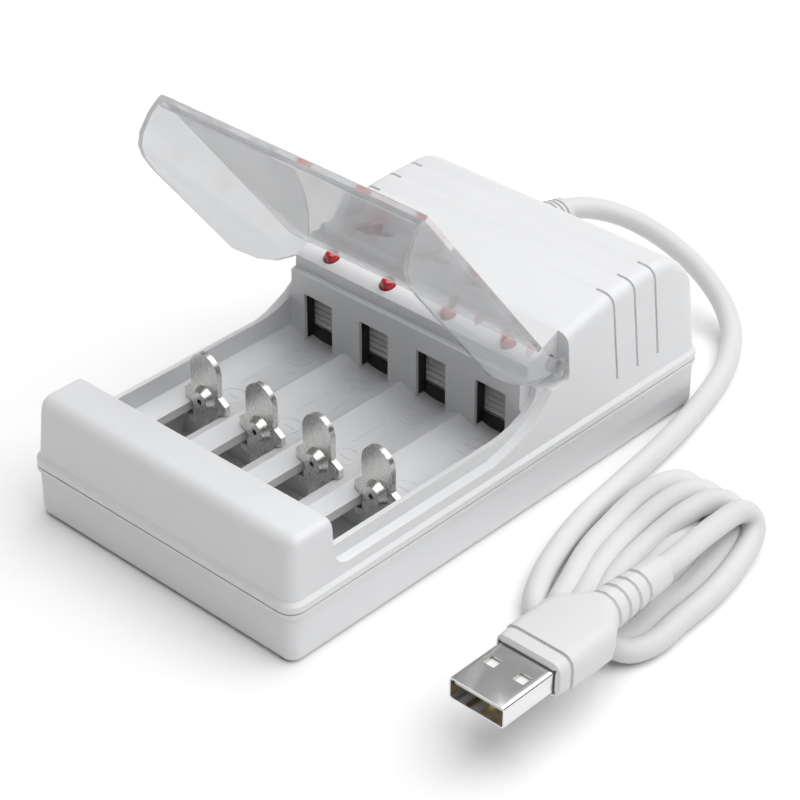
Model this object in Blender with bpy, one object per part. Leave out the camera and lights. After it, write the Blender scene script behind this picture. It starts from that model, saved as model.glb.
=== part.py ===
"""Charger for four AA cells: two-part moulded case, hinged clear lid, spring-loaded
contacts, and a USB lead that lies coiled beside the case.

Units are metres. X is the width, -Y the front, +Z up. The case stands on z = 0 and
x = 0, y = 0 is the middle of its footprint.
"""
import math

import bmesh
import bpy
from mathutils import Vector

# Case
CASE_W = 0.0680            # width at the seam
CASE_L = 0.1145            # length at the seam
CORNER_R = 0.0026          # vertical corner radius
FOOT_R = 0.0020            # radius of the bottom edge
LOWER_H = 0.01135          # top edge of the lower housing
SEAM_GAP = 0.0003          # visible joint between the two housings
HALF_W = CASE_W / 2
HALF_L = CASE_L / 2
WALL = 0.0020              # wall of the lower housing
FLOOR_T = 0.0020           # floor of the lower housing
BEAD_OUT = 0.00055         # how far the joint bead stands proud
BEAD_H = 0.0014            # bead height on each housing
LIP_T = 0.0009             # lap-joint lip thickness
LIP_H = 0.00095            # lap-joint lip height above the seam
DRAFT = 0.07               # side draft of the upper housing, metres per metre
END_DRAFT = 0.01325        # length over which the end draft fades in
GAP = 0.0003               # clearance between pieces that touch

# Upper housing profile
BAR_TOP = 0.0260           # top of the front bar
BAR_LEN = 0.01115          # front bar, front to back
BAR_BACK = -HALF_L + BAR_LEN   # rear face of the front bar
BAR_FILLET = 0.0035        # front top radius of the bar
BAR_BACK_R = 0.0006        # rear top radius of the bar
BAR_END_R = 0.0016         # radius of the bar's end edges
BAR_WALL = 0.0020          # wall of the bar
BLOCK_H = 0.0365           # height of the rear block
BLOCK_REAR_R = 0.0110      # radius from the top into the rear face
BLOCK_EDGE_R = 0.0023      # radius of the block's side edges
BLOCK_WALL = 0.0022        # wall of the block
BLOCK_LEN = 0.05019        # rear block, window wall to rear face
WALL_Y = HALF_L - BLOCK_LEN    # face of the wall with the windows
WALL_TOP = 0.0275          # ledge on top of that wall
LEDGE_BACK = WALL_Y + 0.00144  # rear end of the ledge
SHOULDER_Z = 0.0299        # where the sloping shoulder starts
SHOULDER_Y = WALL_Y + 0.01094  # end of the straight slope
SHOULDER_TOP = 0.0337      # height at the end of the straight slope
CROWN_Y = HALF_L - 0.01725     # where the top becomes level
CAVITY_FRONT = WALL_Y + 0.00244   # front of the hollow in the block
CAVITY_NARROW = HALF_W - 0.0060   # half width of the hollow beside the hinges

# Cell bay
CELL_COUNT = 4
BAY_HALF = HALF_W - 0.0036     # half width of the bay
CELL_PITCH = 2 * (BAY_HALF - 0.0002) / CELL_COUNT   # distance between cells
CHANNEL_R = 0.0130         # radius of a channel
CHANNEL_Z = 0.0116         # lowest line of a channel
TRAY_T = 0.0019            # thickness of the corrugated tray
RIM_Z = 0.0185             # rim of the side walls
RIM_END = WALL_Y - 0.00956     # where the rim starts to rise
RIM_BACK = WALL_Y + 0.00294    # where the rise ends
RIM_BACK_Z = 0.0250        # height of the rise
SLOT_HALF = 0.0041         # half width of a contact slot
SLOT_BACK = BAR_BACK + 0.0242  # rear end of a contact slot
SLOT_FRONT = BAR_BACK - 0.0012    # front end of a contact slot
WINDOW_HALF = 0.0038       # half width of a window
WINDOW_TOP = 0.02285       # top of a window

# Lid and hinge
PIVOT_Y = WALL_Y + 0.00804
PIVOT_Z = 0.0276
LID_HALF = HALF_W - 0.0012     # half width over the wings at the panel
LID_T = 0.0011             # sheet thickness
LID_FRONT = PIVOT_Y - BAR_BACK - 0.0007   # front edge, from the pivot
LID_BACK = 0.0085          # rear edge of the panel, from the pivot
LID_DROP = 0.0112          # depth of the wings
LID_LIP = 0.0022           # depth of the front lip
LID_DRAFT = 0.07           # outward lean of the wings
LID_EDGE_R = 0.0008        # outer edge radius
LID_OPEN = 52.6            # degrees from closed, as it stands
LOBE_R = 0.0021            # hinge lobe radius
PIN_R = 0.0014             # hinge pin radius
PIN_LEN = 0.0030           # hinge pin length
LID_CLEAR = 0.0008         # room under the wings when closed
RECESS_X = HALF_W - 0.0025     # outer face of the side wall inside the wings
HINGE_X = HALF_W - 0.0041      # inner face of the hinge slot
HINGE_BACK = PIVOT_Y + 0.0025  # rear face of the hinge slot
HINGE_BOTTOM = 0.0240      # bottom of the hinge slot
HINGE_CORNER = 0.0012      # radius in the slot's rear corner
RECESS_R = 0.0035          # radius at the front of the lid recess

# Side grooves
GROOVE_Y = HALF_L - 0.02645    # first groove
GROOVE_PITCH = 0.00625
GROOVE_COUNT = 3
GROOVE_W = 0.0006
GROOVE_DEPTH = 0.0005
GROOVE_LOW = 0.0175        # lower end
GROOVE_IN = HALF_W - 0.0044    # inner end on the top face

# Contacts and lamps
PLATE_T = 0.0012           # sliding contact sheet
PLATE_Y = BAR_BACK + 0.0227    # middle of the sheet at rest
PLATE_TOP = 0.0247         # top of the domed head
PLATE_HEAD = 0.0037        # half width of the head
PLATE_SHOULDER = 0.0056    # half width of the shoulders
PLATE_NECK = 0.0037        # half width in the slot
PLATE_EAR = 0.0054         # half width of the ears below the tray
PLATE_TAIL = 0.0030        # half width of the tail
PLATE_LOW = 0.0034         # lower end
BUTTON_Z = 0.0147          # centre of the button
BUTTON_R = 0.0028
BUTTON_END_R = 0.0020
BUTTON_H = 0.0015
BUTTON_HOLE_R = 0.0006
SPRING_R = 0.0022          # coil radius to the middle of the wire
SPRING_WIRE = 0.00025      # wire radius
SPRING_Z = 0.0058          # height of the spring axis
SPRING_TURNS = 8
RAIL_W = 0.0019
RAIL_T = 0.0004
RAIL_FRONT = BAR_BACK - 0.0007
RAIL_BACK = BAR_BACK + 0.0261
RIB_Y = BAR_BACK + 0.0256      # cross rib that carries the rails
RIB_T = 0.0015
RIBBED_T = 0.0004          # positive contact sheet
RIBBED_HALF = 0.0043
RIBBED_LOW = 0.0136        # lowest rib
RIBBED_TOP = 0.0242
RIBBED_PITCH = 0.0013
RIBBED_COUNT = 8
RIBBED_DEPTH = 0.0005
LAMP_Y = LEDGE_BACK + 0.0028
LAMP_R = 0.0015
LAMP_LEN = 0.0058
LAMP_PROUD = 0.0004

# Board and screws
BOARD_Z = 0.0070
BOARD_T = 0.0016
BOARD_FRONT = CAVITY_FRONT + 0.0020
BOARD_BACK = HALF_L - 0.01425
BOARD_HALF = HALF_W - 0.0055
POST_R = 0.0022
POST_X = HALF_W - 0.0090
POST_INSET = 0.0045
COIL_X = 0.0120
COIL_R = 0.0055
COIL_H = 0.0080
CAN_R = 0.0040
CAN_H = 0.0120
SCREW_FRONT = (CELL_PITCH, -HALF_L + 0.00625)
SCREW_REAR = (HALF_W - 0.0080, HALF_L - 0.00925)
SCREW_R = 0.0014
SCREW_HEAD_R = 0.0026
SCREW_HEAD_H = 0.0015
SCREW_LEN = 0.0105
SCREW_SEAT = 0.0045        # height of the shoulder that the head pulls on
BOSS_R = 0.0038
BOSS_TOP = 0.0080
PILLAR_R = 0.0031

# Lead
CORD_D = 0.0045
GLAND_X = -0.0065
GLAND_Z = 0.0260
GLAND_R = 0.0040
GLAND_END_R = 0.0031
GLAND_OUT = HALF_L + 0.00625   # free end of the gland
GLAND_IN = HALF_L - 0.00585    # outer face of the flange inside the case
GLAND_FLANGE_R = 0.0050
GLAND_FLANGE_T = 0.0013
PLUG_X = HALF_W + 0.0393       # plug axis
PLUG_Z = 0.0131
PLUG_TIP = -0.0538         # mouth of the plug shell
SHELL_W = 0.0120
SHELL_H = 0.0045
SHELL_T = 0.0003
SHELL_OUT = 0.0124         # visible length of the shell
SHELL_IN = 0.0030          # length held in the plug body
SHELL_HOLE = 0.0023
SHELL_HOLE_X = 0.0032      # holes beside the axis
SHELL_HOLE_Y = 0.0077      # holes behind the mouth
TONGUE_T = 0.0011
PLUG_W = 0.0150
PLUG_H = 0.0080
PLUG_BODY = 0.0200         # length of the grip
RELIEF_LEN = 0.0165        # ribbed strain relief
RELIEF_R = 0.0039          # strain relief at the plug body
RELIEF_END_R = 0.0031      # strain relief at the cord
RELIEF_RINGS = 4
PLUG_END = PLUG_TIP + SHELL_OUT + PLUG_BODY + RELIEF_LEN   # free end of the strain relief
COIL_TOP = 0.00475         # height of one layer of the coil
COIL_HIGH = 0.0090         # height where two layers cross

UPPER_Z = LOWER_H + SEAM_GAP
BOARD_TOP = BOARD_Z + BOARD_T


def clear_scene():
    for obj in list(bpy.data.objects):
        bpy.data.objects.remove(obj, do_unlink=True)


def material(name, colour, roughness, metallic=0.0, alpha=1.0):
    mat = bpy.data.materials.new(name)
    mat.use_nodes = True
    shader = mat.node_tree.nodes["Principled BSDF"]
    shader.inputs["Base Color"].default_value = (*colour, 1.0)
    shader.inputs["Roughness"].default_value = roughness
    shader.inputs["Metallic"].default_value = metallic
    shader.inputs["Alpha"].default_value = alpha
    return mat


# Shapes as (vertices, faces) pairs

def loft(rings):
    """Closed solid through rings of equal point count, capped at both ends."""
    count = len(rings[0])
    verts = [p for ring in rings for p in ring]
    faces = [list(range(count))]
    for k in range(len(rings) - 1):
        a = k * count
        b = a + count
        for i in range(count):
            j = (i + 1) % count
            faces.append([a + i, a + j, b + j, b + i])
    faces.append([(len(rings) - 1) * count + i for i in range(count)])
    return verts, faces


def closed_loft(rings):
    """Solid ring: the last ring joins the first, so there are no caps."""
    count = len(rings[0])
    verts = [p for ring in rings for p in ring]
    faces = []
    for k in range(len(rings)):
        a = k * count
        b = ((k + 1) % len(rings)) * count
        for i in range(count):
            j = (i + 1) % count
            faces.append([a + i, a + j, b + j, b + i])
    return verts, faces


def box(x0, x1, y0, y1, z0, z1):
    return loft([[(x0, y0, z), (x1, y0, z), (x1, y1, z), (x0, y1, z)] for z in (z0, z1)])


def prism_x(profile, x0, x1, lean=None):
    """Profile of (y, z) points carried along X; lean(z) widens the ends."""
    def at(x, y, z):
        out = lean(z) if lean else 0.0
        return (x + out if x > 0 else x - out, y, z)
    return loft([[at(x, y, z) for y, z in profile] for x in (x0, x1)])


def prism_y(profile, y0, y1):
    """Profile of (x, z) points carried along Y."""
    return loft([[(x, y, z) for x, z in profile] for y in (y0, y1)])


def circle(radius, count):
    return [(radius * math.cos(2 * math.pi * i / count), radius * math.sin(2 * math.pi * i / count))
            for i in range(count)]


def turned(profile, centre, axis, count):
    """Solid of revolution: profile holds (radius, distance along the axis)."""
    cx, cy, cz = centre
    rings = []
    for radius, along in profile:
        ring = []
        for a, b in circle(radius, count):
            if axis == "x":
                ring.append((cx + along, cy + a, cz + b))
            elif axis == "y":
                ring.append((cx + a, cy + along, cz + b))
            else:
                ring.append((cx + a, cy + b, cz + along))
        rings.append(ring)
    return loft(rings)


def rounded(half_x, half_y, radius, z, steps=5):
    """Rounded rectangle in plan at height z."""
    pts = []
    for cx, cy, start in ((1, 1, 0), (-1, 1, 90), (-1, -1, 180), (1, -1, 270)):
        for i in range(steps + 1):
            a = math.radians(start + 90 * i / steps)
            pts.append((cx * (half_x - radius) + radius * math.cos(a),
                        cy * (half_y - radius) + radius * math.sin(a), z))
    return pts


def arc(cx, cz, radius, start, end, steps):
    return [(cx + radius * math.cos(math.radians(start + (end - start) * i / steps)),
             cz + radius * math.sin(math.radians(start + (end - start) * i / steps)))
            for i in range(steps + 1)]


def make(name, shapes, mat=None, origin=(0, 0, 0), smooth=30):
    """One mesh object from closed shapes, faces turned outwards."""
    bm = bmesh.new()
    for verts, faces in shapes:
        new = [bm.verts.new(Vector(v) - Vector(origin)) for v in verts]
        for face in faces:
            bm.faces.new([new[i] for i in face])
    bmesh.ops.recalc_face_normals(bm, faces=bm.faces)
    mesh = bpy.data.meshes.new(name)
    bm.to_mesh(mesh)
    bm.free()
    if smooth:
        mesh.shade_smooth()
        mesh.set_sharp_from_angle(angle=math.radians(smooth))
    if mat:
        mesh.materials.append(mat)
    obj = bpy.data.objects.new(name, mesh)
    obj.location = origin
    bpy.context.scene.collection.objects.link(obj)
    return obj


def tool(name, shapes):
    """Hidden solid that a Boolean uses."""
    obj = make(name, shapes, smooth=0)
    obj.hide_render = True
    obj.display_type = "WIRE"
    return obj


def combine(target, other, operation):
    mod = target.modifiers.new(other.name, "BOOLEAN")
    mod.operation = operation
    mod.solver = "EXACT"
    mod.object = other
    if other.name.startswith("cut_"):
        other.parent = target if target.location.length == 0 else None
    return mod


def cut(target, name, shapes):
    return combine(target, tool("cut_" + name, shapes), "DIFFERENCE")


def join(target, name, shapes):
    return combine(target, tool("add_" + name, shapes), "UNION")


def channels():
    """Centre of each cell channel, from left to right."""
    return [(k - (CELL_COUNT - 1) / 2) * CELL_PITCH for k in range(CELL_COUNT)]


def channel_z(x):
    """Height of the corrugated tray at x."""
    offset = min(abs(x - c) for c in channels())
    return CHANNEL_Z + CHANNEL_R - math.sqrt(CHANNEL_R ** 2 - offset ** 2)


# Lower housing

def lower_housing(mat):
    levels = []
    for i in range(5):
        a = math.radians(90 * i / 4)
        levels.append((FOOT_R * (1 - math.sin(a)), FOOT_R * (1 - math.cos(a))))
    levels.append((0.0, LOWER_H - BEAD_H))
    levels.append((-BEAD_OUT, LOWER_H - BEAD_H + BEAD_OUT))
    levels.append((-BEAD_OUT, LOWER_H))
    levels.append((WALL - LIP_T, LOWER_H))
    levels.append((WALL - LIP_T, LOWER_H + LIP_H))
    levels.append((WALL, LOWER_H + LIP_H))
    levels.append((WALL, FLOOR_T))
    rings = [rounded(HALF_W - d, HALF_L - d, CORNER_R - min(d, CORNER_R - 0.0005), z) for d, z in levels]
    body = make("lower_housing", [loft(rings)], mat)
    posts = []
    for x, y in screw_places():
        posts.append(turned([(BOSS_R, FLOOR_T / 2), (BOSS_R, BOSS_TOP)], (x, y, 0), "z", 20))
    for x in (-POST_X, POST_X):
        for y in (BOARD_FRONT + POST_INSET, BOARD_BACK - POST_INSET):
            posts.append(turned([(POST_R, FLOOR_T / 2), (POST_R, BOARD_Z - GAP)], (x, y, 0), "z", 12))
    rib_top = rail_z() - RAIL_T - GAP
    posts.append(box(-HALF_W + WALL / 2, HALF_W - WALL / 2, RIB_Y - RIB_T / 2, RIB_Y + RIB_T / 2,
                     FLOOR_T / 2, rib_top))
    for c in channels():
        x0 = c + PLATE_TAIL + GAP
        posts.append(box(x0, x0 + RAIL_W, RAIL_FRONT, RAIL_FRONT + RIB_T, FLOOR_T / 2, rib_top))
    join(body, "lower_posts", posts)
    holes = []
    for x, y in screw_places():
        holes.append(turned([(SCREW_HEAD_R + GAP, -0.001), (SCREW_HEAD_R + GAP, SCREW_SEAT),
                             (SCREW_R + GAP, SCREW_SEAT), (SCREW_R + GAP, BOSS_TOP + 0.001)],
                            (x, y, 0), "z", 20))
    cut(body, "lower_screws", holes)
    return body


def screw_places():
    fx, fy = SCREW_FRONT
    rx, ry = SCREW_REAR
    return [(-fx, fy), (fx, fy), (-rx, ry), (rx, ry)]


def rail_z():
    """Top of the contact rails, just under the ears of the sliding contacts."""
    return ear_low() - GAP


def ear_top():
    return CHANNEL_Z - TRAY_T - 0.0005


def ear_low():
    return ear_top() - 0.0016


# Upper housing

def top_height(y):
    """Side view of the upper housing, before draft."""
    if y <= -HALF_L + BAR_FILLET:
        d = -HALF_L + BAR_FILLET - y
        return BAR_TOP - BAR_FILLET + math.sqrt(max(BAR_FILLET ** 2 - d ** 2, 0.0))
    if y <= BAR_BACK - BAR_BACK_R:
        return BAR_TOP
    if y <= BAR_BACK:
        d = y - BAR_BACK + BAR_BACK_R
        return BAR_TOP - BAR_BACK_R + math.sqrt(max(BAR_BACK_R ** 2 - d ** 2, 0.0))
    if y < RIM_END - 0.0001:
        return BAR_TOP - BAR_BACK_R
    if y < LEDGE_BACK - 0.0001:
        return WALL_TOP
    if y <= SHOULDER_Y:
        return SHOULDER_Z + (SHOULDER_TOP - SHOULDER_Z) * max(y - LEDGE_BACK, 0.0) / (SHOULDER_Y - LEDGE_BACK)
    if y <= CROWN_Y:
        return BLOCK_H - (BLOCK_H - SHOULDER_TOP) * ((CROWN_Y - y) / (CROWN_Y - SHOULDER_Y)) ** 2
    if y <= HALF_L - BLOCK_REAR_R:
        return BLOCK_H
    d = y - HALF_L + BLOCK_REAR_R
    return BLOCK_H - BLOCK_REAR_R + math.sqrt(max(BLOCK_REAR_R ** 2 - d ** 2, 0.0))


def drafted(x, y, z):
    """Lean the sides and ends inwards with height."""
    rise = DRAFT * (z - UPPER_Z)
    end = max(0.0, abs(y) - HALF_L + END_DRAFT) / END_DRAFT
    return (x * (HALF_W - rise) / HALF_W, y - math.copysign(rise * end, y), z)


def section(y, half, top, edge, base, steps=4):
    """Cross-section: flat base, upright sides, rounded top edges."""
    pts = [(-half, base), (half, base)]
    pts += arc(half - edge, top - edge, edge, 0, 90, steps)
    pts += arc(-half + edge, top - edge, edge, 90, 180, steps)
    return [drafted(x, y, z) for x, z in pts]


def plan_half(y):
    """Half width at y, with the vertical corners rounded."""
    t = HALF_L - abs(y)
    if t >= CORNER_R:
        return HALF_W
    return HALF_W - CORNER_R + math.sqrt(max(CORNER_R ** 2 - (CORNER_R - t) ** 2, 0.0))


def spread(a, b, count):
    return [a + (b - a) * i / count for i in range(count)]


def outer_stations():
    ys = [-HALF_L + BAR_FILLET * (1 - math.cos(math.radians(90 * i / 8))) for i in range(8)]
    ys += spread(-HALF_L + BAR_FILLET, BAR_BACK - BAR_BACK_R, 2)
    ys += [BAR_BACK - BAR_BACK_R + BAR_BACK_R * math.sin(math.radians(90 * i / 3)) for i in range(4)]
    ys += [RIM_END - 0.0002, RIM_END - 0.0001, LEDGE_BACK - 0.0002, LEDGE_BACK]
    ys += spread(LEDGE_BACK, SHOULDER_Y, 2)[1:]
    ys += spread(SHOULDER_Y, CROWN_Y, 8)
    ys += [CROWN_Y]
    rear = HALF_L - BLOCK_REAR_R
    ys += [rear + BLOCK_REAR_R * math.sin(math.radians(90 * i / 10)) for i in range(11)]
    ys += [HALF_L - CORNER_R * (1 - math.cos(math.radians(90 * i / 4))) for i in range(1, 4)]
    return sorted(set(round(y, 6) for y in ys))


def outer_edge(y):
    if y < BAR_BACK:
        return BAR_END_R
    if y < LEDGE_BACK - 0.00005:
        return 0.0012
    return BLOCK_EDGE_R


def eroded_top(y, wall):
    """Height of the inner face under top_height, wall measured square to it."""
    best = 1.0
    for i in range(-8, 9):
        d = wall * i / 8
        yy = min(max(y + d, LEDGE_BACK), HALF_L)
        best = min(best, top_height(yy) - math.sqrt(max(wall ** 2 - d ** 2, 0.0)))
    return best


def rise_curve(count=6):
    """Concave rise of the side wall towards the hinge, as (y, z)."""
    pts = []
    for i in range(count + 1):
        t = i / count
        y = RIM_END + (RIM_BACK - RIM_END) * math.sin(math.radians(90 * t))
        z = RIM_Z + (RIM_BACK_Z - RIM_Z) * (1 - math.cos(math.radians(90 * t)))
        pts.append((y, z))
    return pts


def wing_underside():
    """Lower edge of a wing from the pivot forwards: (distance ahead, depth)."""
    return [(0.0026, 0.0029), (0.0040, 0.0044), (0.0070, 0.0070), (0.0120, 0.0094),
            (0.0190, LID_DROP)]


def upper_housing(mat):
    base = UPPER_Z + 0.0008
    rings = [section(y, plan_half(y), top_height(y), outer_edge(y), base) for y in outer_stations()]
    body = make("upper_housing", [loft(rings)], mat)

    # joint bead around the foot of the housing
    bead = [(-BEAD_OUT, UPPER_Z), (-BEAD_OUT, UPPER_Z + BEAD_H - 0.0001),
            (0.00045, UPPER_Z + BEAD_H + 0.0009)]
    join(body, "bead", [loft([rounded(HALF_W - d, HALF_L - d, CORNER_R - d, z) for d, z in bead])])

    # bay for the cells, cut right through, then closed by the tray
    cut(body, "bay", [box(-BAY_HALF, BAY_HALF, BAR_BACK, WALL_Y, 0.0, 0.060)])
    edge = BAY_HALF + 0.0006
    xs = [-edge + 2 * edge * i / 40 for i in range(41)]
    skin = [(x, channel_z(x)) for x in xs] + [(x, channel_z(x) - TRAY_T) for x in reversed(xs)]
    join(body, "tray", [prism_y(skin, BAR_BACK - BAR_WALL * 0.75, CAVITY_FRONT + 0.0006)])

    # hollow of the front bar
    cut(body, "bar_hollow", [box(-HALF_W + 0.0024, HALF_W - 0.0024, -HALF_L + 0.00235, BAR_BACK - BAR_WALL,
                                 0.005, BAR_TOP - BAR_WALL - 0.0002)])

    # hollow of the rear block, narrower beside the hinge slots
    step = HINGE_BACK + BLOCK_WALL - 0.0002
    ys = [CAVITY_FRONT, CAVITY_FRONT + 0.0020, CAVITY_FRONT + 0.0045, SHOULDER_Y, step]
    hollow = [section(y, CAVITY_NARROW, eroded_top(y, BLOCK_WALL), 0.001, 0.005, 2) for y in ys]
    rear = HALF_L - 0.00235
    run = CROWN_Y - step
    ys = [step + 0.0001, step + run * 0.21, step + run * 0.5, CROWN_Y]
    ys += [HALF_L - back for back in (0.01125, 0.00875, 0.00675, 0.00475, 0.00325)] + [rear]
    hollow += [section(y, HALF_W - 0.0023, eroded_top(y, BLOCK_WALL), 0.001, 0.005, 2) for y in ys]
    cut(body, "block_hollow", [loft(hollow)])

    # rebate for the lap joint
    out = WALL - LIP_T - GAP
    inn = WALL + 0.0006
    top = LOWER_H + LIP_H + GAP
    rings = [rounded(HALF_W - out, HALF_L - out, CORNER_R - out, 0.005),
             rounded(HALF_W - out, HALF_L - out, CORNER_R - out, top),
             rounded(HALF_W - inn, HALF_L - inn, 0.0005, top),
             rounded(HALF_W - inn, HALF_L - inn, 0.0005, 0.005)]
    cut(body, "rebate", [closed_loft(rings)])

    # side walls: rim, concave rise and hinge slot in one profile
    slot = arc(HINGE_BACK - HINGE_CORNER, HINGE_BOTTOM + HINGE_CORNER, HINGE_CORNER, -90, 0, 3)
    rim = [(BAR_BACK, RIM_Z)] + rise_curve() + [(RIM_BACK + 0.0001, HINGE_BOTTOM)] + slot
    rim += [(HINGE_BACK, 0.060), (BAR_BACK, 0.060)]
    for side, x0, x1 in (("l", -HALF_W - 0.011, -HINGE_X), ("r", HINGE_X, HALF_W + 0.011)):
        cut(body, "rim_" + side, [prism_x(rim, x0, x1)])

    # recess that takes the wings of the closed lid
    low = PIVOT_Z - LID_DROP - LID_CLEAR
    up = RIM_Z + 0.0003
    start = math.degrees(math.asin((up - low - RECESS_R) / RECESS_R))
    ledge = arc(BAR_BACK + RECESS_R, low + RECESS_R, RECESS_R, 180 - start, 270, 5)
    for ahead, depth in reversed(wing_underside()):
        z = PIVOT_Z - depth - LID_CLEAR
        if z < HINGE_BOTTOM:
            ledge.append((PIVOT_Y - ahead, z))
    last_y, last_z = ledge[-1]
    ledge.append((last_y + (HINGE_BOTTOM + 0.0003 - last_z), HINGE_BOTTOM + 0.0003))
    ledge.append((RIM_BACK - 0.0004, RIM_BACK_Z + 0.0004))
    for y, z in reversed(rise_curve()[:-1]):
        ledge.append((y, z + 0.0003))
    for side, x0, x1 in (("l", -HALF_W - 0.011, -RECESS_X), ("r", RECESS_X, HALF_W + 0.011)):
        cut(body, "recess_" + side, [prism_x(ledge, x0, x1)])

    # slots in the tray for the sliding contacts
    cut(body, "slots", [box(c - SLOT_HALF, c + SLOT_HALF, SLOT_FRONT, SLOT_BACK, 0.006,
                            channel_z(c + SLOT_HALF) + 0.0009) for c in channels()])

    # windows in front of the positive contacts, their sills following the channel
    windows = []
    for c in channels():
        xs = [c - WINDOW_HALF + 2 * WINDOW_HALF * i / 6 for i in range(7)]
        sill = [(x, channel_z(x) - 0.0001) for x in xs]
        windows.append(prism_y(sill + [(c + WINDOW_HALF, WINDOW_TOP), (c - WINDOW_HALF, WINDOW_TOP)],
                               WALL_Y - 0.0003, CAVITY_FRONT + 0.001))
    cut(body, "windows", windows)

    # holes: lamps, hinge pins, gland
    lamp_r = LAMP_R + GAP
    cut(body, "lamps", [turned([(lamp_r, 0.026), (lamp_r, 0.040)], (c, LAMP_Y, 0), "z", 16)
                        for c in channels()])
    pin_r = PIN_R + GAP
    cut(body, "pins", [turned([(pin_r, s * (HINGE_X - 0.0044)), (pin_r, s * (HINGE_X + 0.0011))],
                               (0, PIVOT_Y, PIVOT_Z), "x", 16)
                       for s in (-1, 1)])
    gland_r = GLAND_R + GAP
    cut(body, "gland", [turned([(gland_r, HALF_L - 0.00625), (gland_r, HALF_L + 0.00275)],
                                (GLAND_X, 0, GLAND_Z), "y", 20)])

    # grooves that run down both sides of the block
    grooves = []
    for k in range(GROOVE_COUNT):
        y = GROOVE_Y + k * GROOVE_PITCH
        for s in (-1, 1):
            grooves.append(groove(y, s))
    cut(body, "grooves", grooves)

    # screw pillars
    pillars = []
    for x, y in screw_places():
        roof = BAR_TOP - BAR_WALL if y < 0 else eroded_top(y, BLOCK_WALL)
        pillars.append(turned([(PILLAR_R, BOSS_TOP + GAP), (PILLAR_R, roof + 0.0006)], (x, y, 0), "z", 16))
    join(body, "pillars", pillars)
    bore = SCREW_R + GAP
    depth = SCREW_SEAT - GAP + SCREW_LEN + 0.0005
    cut(body, "pillar_bores", [turned([(bore, 0.005), (bore, depth)], (x, y, 0), "z", 12)
                               for x, y in screw_places()])
    return body


def groove(y, side):
    """Narrow channel from the top face over the edge and down the side."""
    top = top_height(y)
    inner = []
    outer = []
    edge = BLOCK_EDGE_R - GROOVE_DEPTH
    inner.append((HALF_W - GROOVE_DEPTH, GROOVE_LOW))
    inner += arc(HALF_W - BLOCK_EDGE_R, top - BLOCK_EDGE_R, edge, 0, 90, 4)
    inner.append((GROOVE_IN, top - GROOVE_DEPTH))
    outer.append((HALF_W + 0.002, GROOVE_LOW))
    outer.append((HALF_W + 0.002, top + 0.002))
    outer.append((GROOVE_IN, top + 0.002))
    ring = inner + list(reversed(outer))
    rings = []
    for dy in (-GROOVE_W / 2, GROOVE_W / 2):
        pts = []
        for x, z in ring:
            lean = (BLOCK_H - z) * 0.05
            px, py, pz = drafted(side * x, y + dy, z)
            pts.append((px, py + lean, pz))
        rings.append(pts)
    return loft(rings)


# Lid

def lid(mat, holder):
    """Clear lid, modelled closed around its hinge axis: ahead is -Y, depth is -Z."""
    def yz(points):
        return [(-ahead, -depth) for ahead, depth in points]

    contour = [(LOBE_R * math.cos(math.radians(a)), -LOBE_R * math.sin(math.radians(a)))
               for a in (-52, -80, -110, -140, -170, 160, 130, 100, 70, 40, 18)]
    contour += [(0.0040, 0.0)]
    contour += [(LID_FRONT, 0.0)]
    contour += [(LID_FRONT - 0.0002, 0.0042), (LID_FRONT - 0.0015, 0.0078), (LID_FRONT - 0.0032, 0.0098),
                (LID_FRONT - 0.0060, 0.0108), (LID_FRONT - 0.0100, LID_DROP)]
    contour += list(reversed(wing_underside()))
    profile = yz(contour)

    def lean(z):
        return LID_DRAFT * -z

    body = make("lid", [prism_x(profile, -LID_HALF, LID_HALF, lean)], mat)
    body.location = (0, 0, 0)
    bm = bmesh.new()
    bm.from_mesh(body.data)
    front = -LID_FRONT
    picked = []
    for e in bm.edges:
        a, b = e.verts
        level = all(abs(v.co.z) < 1e-6 for v in (a, b))
        ahead = all(abs(v.co.y - front) < 1e-6 for v in (a, b))
        if level and ahead:
            picked.append(e)
        elif level and abs(a.co.x - b.co.x) < 1e-6:
            picked.append(e)
    bmesh.ops.bevel(bm, geom=picked, offset=LID_EDGE_R, offset_type="OFFSET", segments=3, profile=0.5,
                    affect="EDGES", clamp_overlap=True)
    bmesh.ops.recalc_face_normals(bm, faces=bm.faces)
    bm.to_mesh(body.data)
    bm.free()
    body.data.shade_smooth()
    body.data.set_sharp_from_angle(angle=math.radians(30))

    inner = LID_HALF - LID_T
    room = yz([(-0.006, -0.006), (LID_BACK, -0.006), (LID_BACK, LID_T), (LID_FRONT - LID_T, LID_T),
               (LID_FRONT - LID_T, LID_LIP), (LID_FRONT + 0.010, LID_LIP), (LID_FRONT + 0.010, 0.020),
               (-0.006, 0.020)])
    cut(body, "lid_inside", [prism_x(room, -inner, inner, lean)])
    pins = []
    for s in (-1, 1):
        pins.append(turned([(PIN_R - 0.0003, s * (inner - PIN_LEN)), (PIN_R, s * (inner - PIN_LEN + 0.0003)),
                            (PIN_R, s * (inner + 0.0005))], (0, 0, 0), "x", 16))
    join(body, "lid_pins", pins)
    for name in ("cut_lid_inside", "add_lid_pins"):
        bpy.data.objects[name].parent = holder
    body.parent = holder
    return body


# Contacts, springs, lamps

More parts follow.
